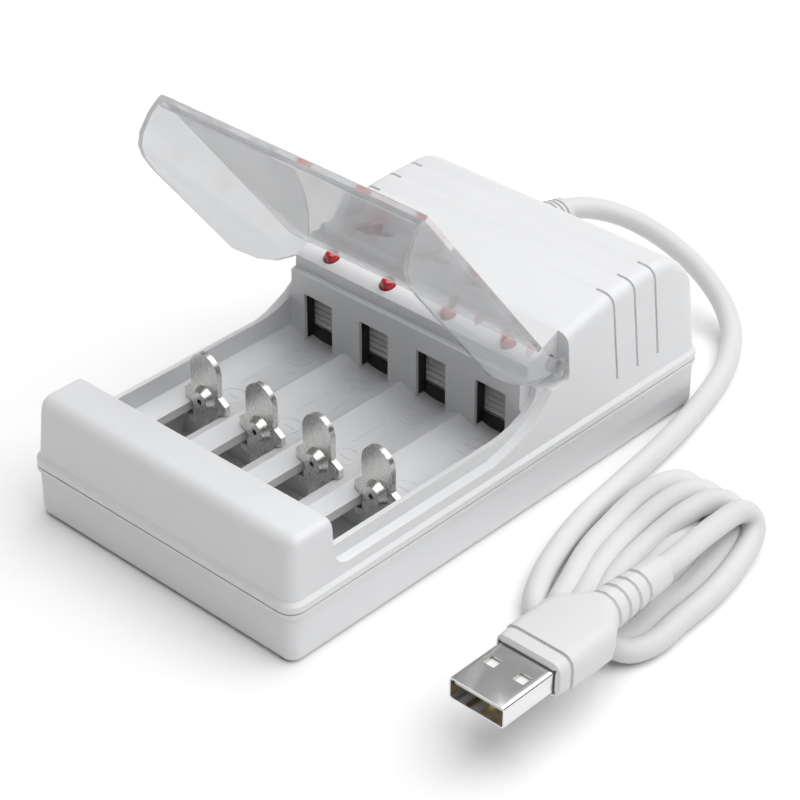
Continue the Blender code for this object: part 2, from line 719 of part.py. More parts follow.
def sliding_contact(name, c, mat):
    """Stamped plate: domed head, shoulders on the channel, neck, ears and tail."""
    head = PLATE_TOP - PLATE_HEAD
    right = [(PLATE_TAIL, PLATE_LOW), (PLATE_TAIL, ear_low()), (PLATE_EAR, ear_low()),
             (PLATE_EAR, ear_top() - 0.0002), (PLATE_NECK, ear_top())]
    foot = channel_z(c + PLATE_SHOULDER) + GAP
    right += [(PLATE_NECK, channel_z(c + PLATE_NECK) + GAP), (PLATE_SHOULDER, foot),
              (PLATE_SHOULDER, foot + 0.0019), (PLATE_HEAD, foot + 0.0031)]
    right += arc(0, head, PLATE_HEAD, 0, 90, 6)[:-1]
    outline = right + [(0, PLATE_TOP)] + [(-x, z) for x, z in reversed(right)]
    front = PLATE_Y - PLATE_T / 2
    back = PLATE_Y + PLATE_T / 2
    sheet = prism_y([(c + x, z) for x, z in outline], front, back)
    origin = (c, PLATE_Y, BUTTON_Z)
    body = make(name, [sheet], mat, origin)
    profile = [(BUTTON_END_R, -BUTTON_H), (BUTTON_R, 0.0), (BUTTON_R, PLATE_T / 2)]
    boss = turned(profile, (c, front, BUTTON_Z), "y", 16)
    hole = turned([(BUTTON_HOLE_R, -BUTTON_H - 0.001), (BUTTON_HOLE_R, 0.0)], (c, front, BUTTON_Z), "y", 10)
    join(body, name + "_button", [boss])
    cut(body, name + "_hole", [hole])
    return body


def spring(name, c, mat):
    """Compression coil from the front wall to the sliding contact."""
    front = -HALF_L + WALL + GAP + SPRING_WIRE
    back = PLATE_Y - PLATE_T / 2 - GAP - SPRING_WIRE
    per_turn = 10
    count = SPRING_TURNS * per_turn
    curve = bpy.data.curves.new(name, "CURVE")
    curve.dimensions = "3D"
    curve.bevel_depth = SPRING_WIRE
    curve.bevel_resolution = 0
    curve.use_fill_caps = True
    line = curve.splines.new("POLY")
    line.points.add(count)
    for i in range(count + 1):
        a = 2 * math.pi * i / per_turn
        y = front + (back - front) * i / count
        line.points[i].co = (c + SPRING_R * math.cos(a), y, SPRING_Z + SPRING_R * math.sin(a), 1)
    curve.materials.append(mat)
    obj = bpy.data.objects.new(name, curve)
    bpy.context.scene.collection.objects.link(obj)
    return obj


def rail(name, c, mat):
    x0 = c + PLATE_TAIL + GAP
    top = rail_z()
    return make(name, [box(x0, x0 + RAIL_W, RAIL_FRONT, RAIL_BACK, top - RAIL_T, top)], mat, smooth=0)


def ribbed_contact(name, c, mat):
    """Positive contact: a foot on the board and a ribbed face behind the window."""
    face = CAVITY_FRONT + GAP
    line = [(face + 0.0042, BOARD_TOP + GAP), (face + RIBBED_DEPTH, BOARD_TOP + GAP),
            (face + RIBBED_DEPTH, RIBBED_LOW - RIBBED_PITCH / 2)]
    for k in range(RIBBED_COUNT):
        z = RIBBED_LOW + k * RIBBED_PITCH
        line.append((face, z))
        line.append((face + RIBBED_DEPTH, z + RIBBED_PITCH / 2))
    line.append((face + RIBBED_DEPTH, RIBBED_TOP))
    back = [(y + RIBBED_T, z) for y, z in line]
    back[0] = (line[0][0], line[0][1] + RIBBED_T)
    back[1] = (line[1][0] + RIBBED_T, line[1][1] + RIBBED_T)
    ring = line + list(reversed(back))
    return make(name, [prism_x(ring, c - RIBBED_HALF, c + RIBBED_HALF)], mat, smooth=20)


def lamp(name, c, mat):
    top = top_height(LAMP_Y) + LAMP_PROUD
    profile = [(LAMP_R, top - LAMP_LEN), (LAMP_R, top)]
    for a in (30, 60, 80):
        profile.append((LAMP_R * math.cos(math.radians(a)), top + 0.0009 * math.sin(math.radians(a))))
    return make(name, [turned(profile, (c, LAMP_Y, 0), "z", 16)], mat)


def screw(name, x, y, mat):
    seat = SCREW_SEAT - GAP
    profile = [(SCREW_HEAD_R - 0.0006, seat - SCREW_HEAD_H), (SCREW_HEAD_R, seat - SCREW_HEAD_H + 0.0005),
               (SCREW_HEAD_R, seat), (SCREW_R, seat), (SCREW_R, seat + SCREW_LEN - 0.001),
               (SCREW_R * 0.4, seat + SCREW_LEN)]
    return make(name, [turned(profile, (x, y, 0), "z", 12)], mat, (x, y, seat))


# Lead and plug

def smooth_path(points, spacing):
    """Points at even spacing along a curve through the route points."""
    pts = [Vector(p) for p in points]
    pts = [2 * pts[0] - pts[1]] + pts + [2 * pts[-1] - pts[-2]]
    fine = []
    for i in range(1, len(pts) - 2):
        p0, p1, p2, p3 = pts[i - 1:i + 3]
        t0 = 0.0
        t1 = t0 + (p1 - p0).length ** 0.5
        t2 = t1 + (p2 - p1).length ** 0.5
        t3 = t2 + (p3 - p2).length ** 0.5
        for k in range(24):
            t = t1 + (t2 - t1) * k / 24
            a1 = p0 * ((t1 - t) / (t1 - t0)) + p1 * ((t - t0) / (t1 - t0))
            a2 = p1 * ((t2 - t) / (t2 - t1)) + p2 * ((t - t1) / (t2 - t1))
            a3 = p2 * ((t3 - t) / (t3 - t2)) + p3 * ((t - t2) / (t3 - t2))
            b1 = a1 * ((t2 - t) / (t2 - t0)) + a2 * ((t - t0) / (t2 - t0))
            b2 = a2 * ((t3 - t) / (t3 - t1)) + a3 * ((t - t1) / (t3 - t1))
            fine.append(b1 * ((t2 - t) / (t2 - t1)) + b2 * ((t - t1) / (t2 - t1)))
    fine.append(pts[-2])
    total = sum((b - a).length for a, b in zip(fine, fine[1:]))
    count = max(2, round(total / spacing))
    out = [fine[0]]
    walked = 0.0
    want = total / count
    for a, b in zip(fine, fine[1:]):
        step = (b - a).length
        while walked + step >= want * len(out) - 1e-9 and len(out) < count:
            out.append(a + (b - a) * ((want * len(out) - walked) / step))
        walked += step
    out.append(fine[-1])
    return out


def cord(name, route, mat, spacing=0.0075):
    curve = bpy.data.curves.new(name, "CURVE")
    curve.dimensions = "3D"
    curve.bevel_depth = CORD_D / 2
    curve.bevel_resolution = 2
    curve.use_fill_caps = True
    path = smooth_path(route, spacing)
    path.insert(1, path[0] + Vector((0, 0.0010, 0)))
    line = curve.splines.new("POLY")
    line.points.add(len(path) - 1)
    for i, p in enumerate(path):
        line.points[i].co = (*p, 1)
    line.use_smooth = True
    curve.materials.append(mat)
    obj = bpy.data.objects.new(name, curve)
    bpy.context.scene.collection.objects.link(obj)
    return obj


LEAD_ROUTE = [(GLAND_X, GLAND_OUT + GAP, GLAND_Z), (GLAND_X + 0.0005, GLAND_OUT + 0.0043, 0.0253),
              (GLAND_X + 0.0032, GLAND_OUT + 0.0100, 0.0232), (GLAND_X + 0.0087, GLAND_OUT + 0.0150, 0.0200),
              (GLAND_X + 0.0155, GLAND_OUT + 0.0187, 0.0153), (GLAND_X + 0.0219, GLAND_OUT + 0.0207, 0.0101),
              (GLAND_X + 0.0282, GLAND_OUT + 0.0197, 0.0057), (GLAND_X + 0.0337, GLAND_OUT + 0.0151, 0.0032),
              (PLUG_X - 0.0401, GLAND_OUT + 0.0045, 0.0024), (PLUG_X - 0.0355, GLAND_OUT - 0.0105, 0.0024),
              (PLUG_X - 0.0325, PLUG_END + 0.0429, 0.0024), (PLUG_X - 0.0303, PLUG_END + 0.0279, 0.0024)]

TAIL_ROUTE = [(PLUG_X, PLUG_END + GAP, PLUG_Z), (PLUG_X - 0.0002, PLUG_END + 0.0069, PLUG_Z - 0.0004),
              (PLUG_X - 0.0009, PLUG_END + 0.0135, PLUG_Z - 0.0016),
              (PLUG_X - 0.0022, PLUG_END + 0.0195, PLUG_Z - 0.0036),
              (PLUG_X - 0.0038, PLUG_END + 0.0245, PLUG_Z - 0.0054)]


def coil_outline():
    """Edges of the coil: (distance ahead of the relief's end, left edge, right edge) from the plug axis."""
    return [(0.0181, -0.0095, -0.0035), (0.0172, -0.0135, 0.0005), (0.0150, -0.0172, 0.0028),
            (0.0112, -0.0209, 0.0048), (0.0062, -0.0240, 0.0058), (0.0002, -0.0271, 0.0062),
            (-0.0078, -0.0293, 0.0060), (-0.0158, -0.0304, 0.0049), (-0.0218, -0.0303, 0.0036),
            (-0.0258, -0.0294, 0.0024), (-0.0293, -0.0278, 0.0010), (-0.0323, -0.0262, -0.0007),
            (-0.0346, -0.0240, -0.0030), (-0.0362, -0.0212, -0.0062)]


def coil_height(ahead, share):
    """One layer along the sides, two where the turns cross at the ends."""
    front = max(0.0, min(1.0, (ahead - 0.0012) / 0.0080)) * max(0.0, min(1.0, (0.0192 - ahead) / 0.0030))
    back = max(0.0, min(1.0, (-0.0208 - ahead) / 0.0080)) * max(0.0, min(1.0, (ahead + 0.0385) / 0.0050))
    side = max(0.0, min(1.0, (0.85 - share) / 0.35)) * max(0.0, min(1.0, share / 0.15))
    return COIL_TOP + (COIL_HIGH - COIL_TOP) * max(front, back) * side


def coil(mat):
    rings = []
    low = 0.0001
    for ahead, to_left, to_right in coil_outline():
        y = PLUG_END - ahead
        left = PLUG_X + to_left
        right = PLUG_X + to_right
        edge = 0.0014
        pts = [(left + edge, low), (right - edge, low), (right - 0.0004, low + edge), (right, CORD_D / 2)]
        steps = 8
        for i in range(steps + 1):
            share = 1 - i / steps
            x = left + 0.0012 + (right - left - 0.0024) * share
            top = coil_height(ahead, share)
            pts.append((x, top - (0.0010 if i in (0, steps) else 0.0)))
        pts += [(left, CORD_D / 2), (left + 0.0004, low + edge)]
        rings.append([(x, y, z) for x, z in pts])
    return make("cord_coil", [loft(rings)], mat, smooth=50)


def plug_ring(y, half_w, half_h, radius):
    pts = []
    for cx, cz, start in ((1, 1, 0), (-1, 1, 90), (-1, -1, 180), (1, -1, 270)):
        for i in range(4):
            a = math.radians(start + 30 * i)
            pts.append((PLUG_X + cx * (half_w - radius) + radius * math.cos(a), y,
                        PLUG_Z + cz * (half_h - radius) + radius * math.sin(a)))
    return pts


def plug_body(mat):
    front = PLUG_TIP + SHELL_OUT
    w = PLUG_W / 2
    h = PLUG_H / 2
    rings = [plug_ring(front, w - 0.0012, h - 0.0012, 0.0014),
             plug_ring(front + 0.0006, w - 0.0005, h - 0.0005, 0.0018),
             plug_ring(front + 0.0030, w - 0.0003, h - 0.0003, 0.0020),
             plug_ring(front + 0.0031, w - 0.0006, h - 0.0006, 0.0020),
             plug_ring(front + 0.0034, w - 0.0006, h - 0.0006, 0.0020),
             plug_ring(front + 0.0035, w, h, 0.0024),
             plug_ring(front + PLUG_BODY - 0.0060, w, h, 0.0024),
             plug_ring(front + PLUG_BODY - 0.0040, w - 0.0011, h, 0.0026),
             plug_ring(front + PLUG_BODY - 0.0016, w - 0.0028, h, 0.0032),
             plug_ring(front + PLUG_BODY, w - 0.0036, h, 0.0037)]
    start = front + PLUG_BODY
    pitch = (RELIEF_LEN - 0.0045) / RELIEF_RINGS
    end = start + RELIEF_LEN

    def relief(y, inset=0.0):
        r = RELIEF_R + (RELIEF_END_R - RELIEF_R) * (y - start) / RELIEF_LEN - inset
        return plug_ring(y, r, r, r - 0.0001)

    for k in range(RELIEF_RINGS):
        y = start + k * pitch
        rings.append(relief(y + 0.0003, 0.0005))
        rings.append(relief(y + 0.0007, 0.0005))
        rings.append(relief(y + 0.0009))
        rings.append(relief(y + pitch - 0.0001))
    rings.append(relief(end - 0.0030))
    rings.append(relief(end - 0.0006))
    rings.append(relief(end, 0.0006))
    body = make("plug_body", [loft(rings)], mat)
    half_w = SHELL_W / 2 + GAP
    half_h = SHELL_H / 2 + GAP
    cut(body, "plug_pocket", [box(PLUG_X - half_w, PLUG_X + half_w, front - 0.002, front + SHELL_IN + GAP,
                                  PLUG_Z - half_h, PLUG_Z + half_h)])
    return body


def plug_shell(mat):
    back = PLUG_TIP + SHELL_OUT + SHELL_IN
    w = SHELL_W / 2
    h = SHELL_H / 2
    rings = [plug_ring(PLUG_TIP, w, h, 0.0006), plug_ring(back, w, h, 0.0006)]
    body = make("plug_shell", [loft(rings)], mat)
    inside = [plug_ring(PLUG_TIP - 0.001, w - SHELL_T, h - SHELL_T, 0.0004),
              plug_ring(back - SHELL_T, w - SHELL_T, h - SHELL_T, 0.0004)]
    cut(body, "shell_inside", [loft(inside)])
    holes = []
    for s in (-1, 1):
        x = PLUG_X + s * SHELL_HOLE_X
        y = PLUG_TIP + SHELL_HOLE_Y
        holes.append(box(x - SHELL_HOLE / 2, x + SHELL_HOLE / 2, y - SHELL_HOLE / 2, y + SHELL_HOLE / 2,
                         PLUG_Z - h - 0.001, PLUG_Z + h + 0.001))
    cut(body, "shell_holes", holes)
    return body


def plug_tongue(mat):
    w = SHELL_W / 2 - SHELL_T - GAP
    low = PLUG_Z + SHELL_H / 2 - SHELL_T - GAP - TONGUE_T
    front = PLUG_TIP + 0.0008
    back = PLUG_TIP + SHELL_OUT + SHELL_IN - SHELL_T - GAP
    return make("plug_tongue", [box(PLUG_X - w, PLUG_X + w, front, back, low, low + TONGUE_T)], mat, smooth=0)


def gland(mat):
    wall_in = GLAND_IN
    r = GLAND_R
    e = GLAND_END_R
    neck = HALF_L + 0.00095
    profile = [(GLAND_FLANGE_R, wall_in - GLAND_FLANGE_T), (GLAND_FLANGE_R, wall_in), (r, wall_in), (r, neck)]
    rings = 3
    pitch = (GLAND_OUT - 0.0010 - neck) / rings
    for k in range(rings):
        a = r + (e - r) * k / rings
        b = r + (e - r) * (k + 1) / rings
        y = neck + k * pitch
        profile += [(a - 0.0005, y + 0.0001), (a - 0.0005, y + 0.0004), (a, y + 0.0005), (b, y + pitch)]
    profile += [(e, GLAND_OUT - 0.0003), (e - 0.0003, GLAND_OUT)]
    return make("cord_gland", [turned(profile, (GLAND_X, 0, GLAND_Z), "y", 16)], mat)


# Everything together

def build():
    clear_scene()
    white = material("white_case", (0.83, 0.84, 0.85), 0.42)
    tray_white = material("white_base", (0.83, 0.84, 0.85), 0.45)
    clear = material("clear_lid", (0.93, 0.95, 0.97), 0.06, alpha=0.25)
    nickel = material("nickel_contact", (0.72, 0.71, 0.69), 0.22, 1.0)
    steel = material("spring_steel", (0.55, 0.55, 0.56), 0.30, 1.0)
    red = material("lamp_red", (0.62, 0.04, 0.05), 0.15)
    green = material("board_green", (0.03, 0.20, 0.09), 0.50)
    copper = material("wound_copper", (0.45, 0.22, 0.10), 0.40, 0.6)
    black = material("can_black", (0.04, 0.04, 0.05), 0.40)
    pale = material("cord_white", (0.80, 0.81, 0.82), 0.50)
    grip = material("plug_white", (0.82, 0.83, 0.84), 0.45)
    shell = material("plug_nickel", (0.70, 0.70, 0.71), 0.20, 1.0)
    tongue = material("tongue_cream", (0.74, 0.72, 0.66), 0.50)

    lower_housing(tray_white)
    upper_housing(white)

    axis = bpy.data.objects.new("lid_axis", None)
    axis.location = (0, PIVOT_Y, PIVOT_Z)
    axis.rotation_euler = (-math.radians(LID_OPEN), 0, 0)
    bpy.context.scene.collection.objects.link(axis)
    lid(clear, axis)

    for k, c in enumerate(channels(), 1):
        sliding_contact("sliding_contact_%d" % k, c, nickel)
        spring("contact_spring_%d" % k, c, steel)
        rail("contact_rail_%d" % k, c, nickel)
        ribbed_contact("positive_contact_%d" % k, c, nickel)
        lamp("status_lamp_%d" % k, c, red)

    make("circuit_board", [box(-BOARD_HALF, BOARD_HALF, BOARD_FRONT, BOARD_BACK, BOARD_Z, BOARD_TOP)], green,
         smooth=0)
    seat = BOARD_TOP + GAP
    part_y = (BOARD_FRONT + BOARD_BACK) / 2 + 0.00275
    make("board_inductor", [turned([(COIL_R, 0), (COIL_R, COIL_H)], (COIL_X, part_y, seat), "z", 16)], copper)
    make("board_capacitor", [turned([(CAN_R, 0), (CAN_R, CAN_H)], (-COIL_X, part_y, seat), "z", 16)], black)
    for k, (x, y) in enumerate(screw_places(), 1):
        screw("case_screw_%d" % k, x, y, steel)

    gland(grip)
    cord("cord_lead", LEAD_ROUTE, pale)
    coil(pale)
    cord("cord_tail", TAIL_ROUTE, pale, 0.006)
    plug_body(grip)
    plug_shell(shell)
    plug_tongue(tongue)


build()
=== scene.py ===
"""Charger for four AA cells with an open clear lid and a coiled USB lead."""
import math

import bmesh
import bpy
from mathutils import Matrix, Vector


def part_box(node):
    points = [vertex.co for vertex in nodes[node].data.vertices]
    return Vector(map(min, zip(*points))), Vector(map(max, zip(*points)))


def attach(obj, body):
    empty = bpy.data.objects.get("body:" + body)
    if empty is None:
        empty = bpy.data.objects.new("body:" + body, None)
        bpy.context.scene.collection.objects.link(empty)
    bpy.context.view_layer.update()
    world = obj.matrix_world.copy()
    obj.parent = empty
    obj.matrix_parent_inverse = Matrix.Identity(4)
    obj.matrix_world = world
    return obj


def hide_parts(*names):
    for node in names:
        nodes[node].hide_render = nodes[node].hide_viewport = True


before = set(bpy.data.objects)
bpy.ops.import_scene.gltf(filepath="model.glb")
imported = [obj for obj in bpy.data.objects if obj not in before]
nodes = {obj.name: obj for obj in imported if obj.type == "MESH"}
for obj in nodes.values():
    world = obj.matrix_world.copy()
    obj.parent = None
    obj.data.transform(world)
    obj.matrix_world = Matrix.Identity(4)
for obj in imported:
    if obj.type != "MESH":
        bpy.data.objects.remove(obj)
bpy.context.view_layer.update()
MM = 0.001


# Camera, at the photograph's angle
AZIMUTH = math.radians(42.97)
ELEVATION = math.radians(33.76)
DISTANCE = 0.4955
LENS = 113.9

back = Vector((math.sin(AZIMUTH) * math.cos(ELEVATION), -math.cos(AZIMUTH) * math.cos(ELEVATION),
               math.sin(ELEVATION)))
right = Vector((math.cos(AZIMUTH), math.sin(AZIMUTH), 0.0))
up = back.cross(right)
cam_data = bpy.data.cameras.new("camera")
cam_data.sensor_width = 36.0
cam_data.lens = LENS
cam_data.clip_start = 0.01
cam_data.clip_end = 20.0
cam = bpy.data.objects.new("camera", cam_data)
bpy.context.scene.collection.objects.link(cam)
cam.location = right * 0.00448 + up * 0.0108 + back * DISTANCE
cam.rotation_mode = "QUATERNION"
cam.rotation_quaternion = (-back).to_track_quat("-Z", "Y")
bpy.context.scene.camera = cam


def made_piece(name, bm):
    mesh = bpy.data.meshes.new(name)
    bm.to_mesh(mesh)
    bm.free()
    obj = bpy.data.objects.new(name, mesh)
    bpy.context.scene.collection.objects.link(obj)
    return obj


# USB lead: out of the gland, down behind the case, along its side, four turns, up into the plug
CORD_D = 0.0045
LEAD = [(-6.5, 62.6, 26.0), (-6.5, 64.8, 26.0), (-6.0, 67.8, 25.3), (-3.3, 73.5, 23.2), (2.2, 78.5, 20.0),
        (9.0, 82.2, 15.3), (15.4, 84.2, 10.1), (21.7, 83.2, 5.7), (27.2, 78.6, 3.2), (33.2, 68.0, 2.4),
        (37.8, 53.0, 2.4), (40.9, 38.0, 2.5), (43.0, 21.5, 2.4), (44.6, 9.7, 2.4), (47.0, 0.0, 2.4),
        (49.6, -7.6, 2.4)]
FRONT = [
    [(51.6, -12.0, 2.4), (54.3, -16.6, 2.4), (58.0, -19.8, 2.4), (61.8, -20.0, 2.4), (64.3, -16.6, 2.4),
     (64.9, -11.0, 2.4)],
    [(57.4, -12.2, 3.0), (60.4, -17.4, 5.6), (64.4, -19.9, 6.7), (67.7, -18.0, 4.6), (68.9, -13.0, 2.5),
     (68.9, -9.0, 2.4)],
    [(60.9, -10.8, 3.2), (63.8, -16.0, 6.4), (67.6, -19.4, 6.6), (71.2, -18.2, 4.0), (72.9, -13.2, 2.4),
     (73.2, -9.0, 2.4)],
    [(64.2, -9.2, 3.2), (67.2, -14.8, 6.2), (71.0, -18.8, 5.8), (74.8, -18.4, 3.4), (76.9, -13.8, 2.4),
     (77.4, -9.0, 2.4)],
]
OUTER = [(76.7, -4.7), (76.6, 0.1), (76.4, 5.0), (75.7, 10.4), (74.4, 16.7)]
REAR = [
    [(60.2, 21.7, 2.4), (59.2, 25.6, 2.5), (57.5, 28.4, 3.2), (55.5, 29.5, 4.4), (53.9, 28.4, 5.6),
     (52.7, 25.4, 6.4), (51.3, 22.0, 6.0), (50.1, 17.2, 4.4)],
    [(64.2, 21.7, 2.4), (63.4, 25.4, 2.5), (62.2, 28.0, 3.4), (60.4, 29.2, 5.0), (58.5, 27.2, 6.4),
     (56.6, 23.4, 6.6), (55.2, 17.9, 5.2)],
    [(68.7, 21.7, 2.4), (68.1, 25.2, 2.6), (66.8, 27.8, 4.0), (65.0, 28.5, 5.8), (63.1, 26.7, 6.8),
     (61.4, 22.5, 6.6), (60.1, 16.7, 5.4)],
]
LEFT = [
    [(50.3, 10.0, 2.8), (51.7, 1.9, 2.4), (54.6, -5.6, 2.5)],
    [(54.4, 10.6, 2.9), (55.5, 2.7, 2.4), (57.9, -4.4, 2.4)],
    [(59.1, 11.6, 3.3), (59.4, 4.8, 2.6), (61.1, -2.8, 2.5)],
]
INSETS = (12.6, 8.7, 4.4, 0.0)       # how far each turn's right-hand strand lies inside the outer one
FLOOR_Z = 2.4                        # centreline of a strand on the floor, mm
TAIL = [(73.0, 21.7, 2.6), (72.2, 25.2, 3.2), (71.0, 27.2, 4.9), (69.8, 26.9, 7.0), (69.2, 24.6, 8.3),
        (69.6, 19.6, 9.1), (70.6, 13.4, 10.4), (71.9, 6.0, 11.8), (72.9, 0.6, 12.7), (73.3, -3.6, 13.1),
        (73.3, -6.2, 13.1)]


def lead_points():
    pts = list(LEAD)
    for turn in range(4):
        pts += FRONT[turn]
        inset = INSETS[turn]
        pts += [(x - inset, y, FLOOR_Z) for x, y in OUTER]
        if turn < 3:
            pts += REAR[turn] + LEFT[turn]
    return [Vector(p) * MM for p in pts + TAIL]


SMOOTHING = 14


def through(points, step):
    """A centripetal curve through the points, in even steps."""
    pts = [points[0] * 2 - points[1]] + points + [points[-1] * 2 - points[-2]]
    fine = []
    for a, b, c, d in zip(pts, pts[1:], pts[2:], pts[3:]):
        t0 = 0.0
        t1 = t0 + math.sqrt((b - a).length)
        t2 = t1 + math.sqrt((c - b).length)
        t3 = t2 + math.sqrt((d - c).length)
        for k in range(12):
            t = t1 + (t2 - t1) * k / 12
            a1 = a * ((t1 - t) / (t1 - t0)) + b * ((t - t0) / (t1 - t0))
            a2 = b * ((t2 - t) / (t2 - t1)) + c * ((t - t1) / (t2 - t1))
            a3 = c * ((t3 - t) / (t3 - t2)) + d * ((t - t2) / (t3 - t2))
            b1 = a1 * ((t2 - t) / (t2 - t0)) + a2 * ((t - t0) / (t2 - t0))
            b2 = a2 * ((t3 - t) / (t3 - t1)) + a3 * ((t - t1) / (t3 - t1))
            fine.append(b1 * ((t2 - t) / (t2 - t1)) + b2 * ((t - t1) / (t2 - t1)))
    fine.append(points[-1])
    even = [fine[0]]
    carry = 0.0
    for a, b in zip(fine, fine[1:]):
        seg = (b - a).length
        at = step - carry
        while at <= seg:
            even.append(a.lerp(b, at / seg))
            at += step
        carry = (carry + seg) % step
    even[-1] = points[-1]
    for _ in range(SMOOTHING):
        even = even[:3] + [(p + q * 2 + r) / 4 for p, q, r in zip(even[2:], even[3:], even[4:])] + even[-1:]
    return even


STEP = 0.0009
line = through(lead_points(), STEP)
SIDES = 18
bm = bmesh.new()
rings = []
normal = Vector((0, 0, 1))
for i, p in enumerate(line):
    along = (line[min(i + 1, len(line) - 1)] - line[max(i - 1, 0)]).normalized()
    normal = (normal - along * normal.dot(along)).normalized()
    side = along.cross(normal)
    rings.append([bm.verts.new(p + (normal * math.cos(a) + side * math.sin(a)) * (CORD_D / 2))
                  for a in (math.tau * j / SIDES for j in range(SIDES))])
for a, b in zip(rings, rings[1:]):
    for j in range(SIDES):
        bm.faces.new((a[j], a[(j + 1) % SIDES], b[(j + 1) % SIDES], b[j])).smooth = True
bm.faces.new(rings[0][::-1])
bm.faces.new(rings[-1])
bmesh.ops.recalc_face_normals(bm, faces=bm.faces)
lead = made_piece("usb_lead", bm)
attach(lead, "case")
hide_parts("cord_lead", "cord_coil", "cord_tail")


# Materials
class Look:
    """A Principled material with helpers for procedural detail in object space, in metres."""

    def __init__(self, name, rough=0.5, metallic=0.0):
        self.mat = bpy.data.materials.new(name)
        self.mat.use_nodes = True
        self.tree = self.mat.node_tree
        self.shader = self.tree.nodes["Principled BSDF"]
        self.shader.inputs["Metallic"].default_value = metallic
        self.shader.inputs["Roughness"].default_value = rough
        self.coords = self.tree.nodes.new("ShaderNodeTexCoord")

    def node(self, kind, **values):
        n = self.tree.nodes.new(kind)
        for key, value in values.items():
            setattr(n, key, value)
        return n

    def link(self, a, b):
        self.tree.links.new(a, b)

    def noise(self, scale, stretch=(1, 1, 1), detail=3.0, rough=0.55):
        m = self.node("ShaderNodeMapping")
        m.inputs["Scale"].default_value = stretch
        self.link(self.coords.outputs["Object"], m.inputs["Vector"])
        n = self.node("ShaderNodeTexNoise")
        n.inputs["Scale"].default_value = scale
        n.inputs["Detail"].default_value = detail
        n.inputs["Roughness"].default_value = rough
        self.link(m.outputs["Vector"], n.inputs["Vector"])
        return n.outputs["Fac"]

    def spread(self, fac, low, high, socket):
        m = self.node("ShaderNodeMapRange")
        m.inputs["From Min"].default_value = 0.3
        m.inputs["From Max"].default_value = 0.7
        m.inputs["To Min"].default_value = low
        m.inputs["To Max"].default_value = high
        self.link(fac, m.inputs["Value"])
        self.link(m.outputs["Result"], self.shader.inputs[socket])

    def tint(self, fac, dark, light):
        r = self.node("ShaderNodeValToRGB")
        r.color_ramp.elements[0].position = 0.3
        r.color_ramp.elements[0].color = (*dark, 1)
        r.color_ramp.elements[1].position = 0.7
        r.color_ramp.elements[1].color = (*light, 1)
        self.link(fac, r.inputs["Fac"])
        self.link(r.outputs["Color"], self.shader.inputs["Base Color"])
        return r

    def bump(self, fac, height, strength=1.0, below=None):
        b = self.node("ShaderNodeBump")
        b.inputs["Strength"].default_value = strength
        b.inputs["Distance"].default_value = height
        self.link(fac, b.inputs["Height"])
        if below:
            self.link(below, b.inputs["Normal"])
        self.link(b.outputs["Normal"], self.shader.inputs["Normal"])
        return b.outputs["Normal"]


def shade(c, k):
    return tuple(min(1.0, v * k) for v in c)


def moulded(name, colour, rough, grain=2600.0, height=0.0000035, gloss=0.5):
    """Moulded plastic: faint flow clouds in the colour, spark-eroded grain in the surface."""
    k = Look(name, rough)
    k.tint(k.noise(70.0, detail=4.0), shade(colour, 0.985), shade(colour, 1.01))
    k.spread(k.noise(420.0), rough - 0.05, rough + 0.05, "Roughness")
    long = k.bump(k.noise(95.0, detail=1.0), 0.00003, 0.35)
    k.bump(k.noise(grain, detail=2.0), height, 1.0, long)
    k.shader.inputs["Specular IOR Level"].default_value = gloss
    k.shader.inputs["IOR"].default_value = 1.5
    return k.mat


def metal(name, colour, rough, stretch, streak=2200.0, height=0.000002):
    """Plated metal: rolling streaks across the sheet and a faint tarnish."""
    k = Look(name, rough, 1.0)
    k.tint(k.noise(160.0, detail=5.0), shade(colour, 0.97), colour)
    fine = k.noise(streak, stretch=stretch, detail=2.0)
    k.spread(fine, rough - 0.015, rough + 0.02, "Roughness")
    k.bump(k.noise(120.0, detail=1.0), height, 0.3)
    return k.mat


ABS = (0.775, 0.78, 0.79)
case = moulded("case_plastic", ABS, 0.42)
base = moulded("base_plastic", shade(ABS, 0.985), 0.44)
sleeve = moulded("cord_sleeve", (0.70, 0.70, 0.70), 0.5, grain=3400.0, gloss=0.3)
plug_grip = moulded("plug_grip", (0.73, 0.73, 0.735), 0.48, grain=3000.0, gloss=0.3)
nickel = metal("nickel_contact", (0.70, 0.69, 0.67), 0.27, (1.0, 1.0, 0.3), height=0.0000006)
steel = metal("spring_steel", (0.58, 0.57, 0.56), 0.3, (1.0, 0.2, 1.0))
plating = metal("plug_plating", (0.78, 0.78, 0.775), 0.2, (1.0, 0.3, 1.0), streak=1400.0, height=0.0000004)
zinc = metal("screw_zinc", (0.62, 0.62, 0.63), 0.33, (1.0, 1.0, 1.0))
gold = metal("contact_gold", (0.83, 0.58, 0.27), 0.25, (1.0, 0.1, 1.0))

# Ribbed contact with painted shade: by the surface normal, the rib faces that look downwards are coloured
# dark and the faces that look upwards light.
k = Look("ribbed_contact", 0.42, 0.15)
facing = k.node("ShaderNodeNewGeometry")
split = k.node("ShaderNodeSeparateXYZ")
k.link(facing.outputs["Normal"], split.inputs["Vector"])
rib_painted_shade = k.node("ShaderNodeMapRange")
rib_painted_shade.inputs["From Min"].default_value = -0.75
rib_painted_shade.inputs["From Max"].default_value = 0.1
rib_painted_shade.inputs["To Min"].default_value = 0.3
rib_painted_shade.inputs["To Max"].default_value = 0.7
k.link(split.outputs["Z"], rib_painted_shade.inputs["Value"])
k.tint(rib_painted_shade.outputs["Result"], (0.16, 0.15, 0.145), (0.95, 0.94, 0.93))
k.spread(k.noise(900.0, stretch=(0.15, 1, 1)), 0.36, 0.48, "Roughness")
ribbed = k.mat

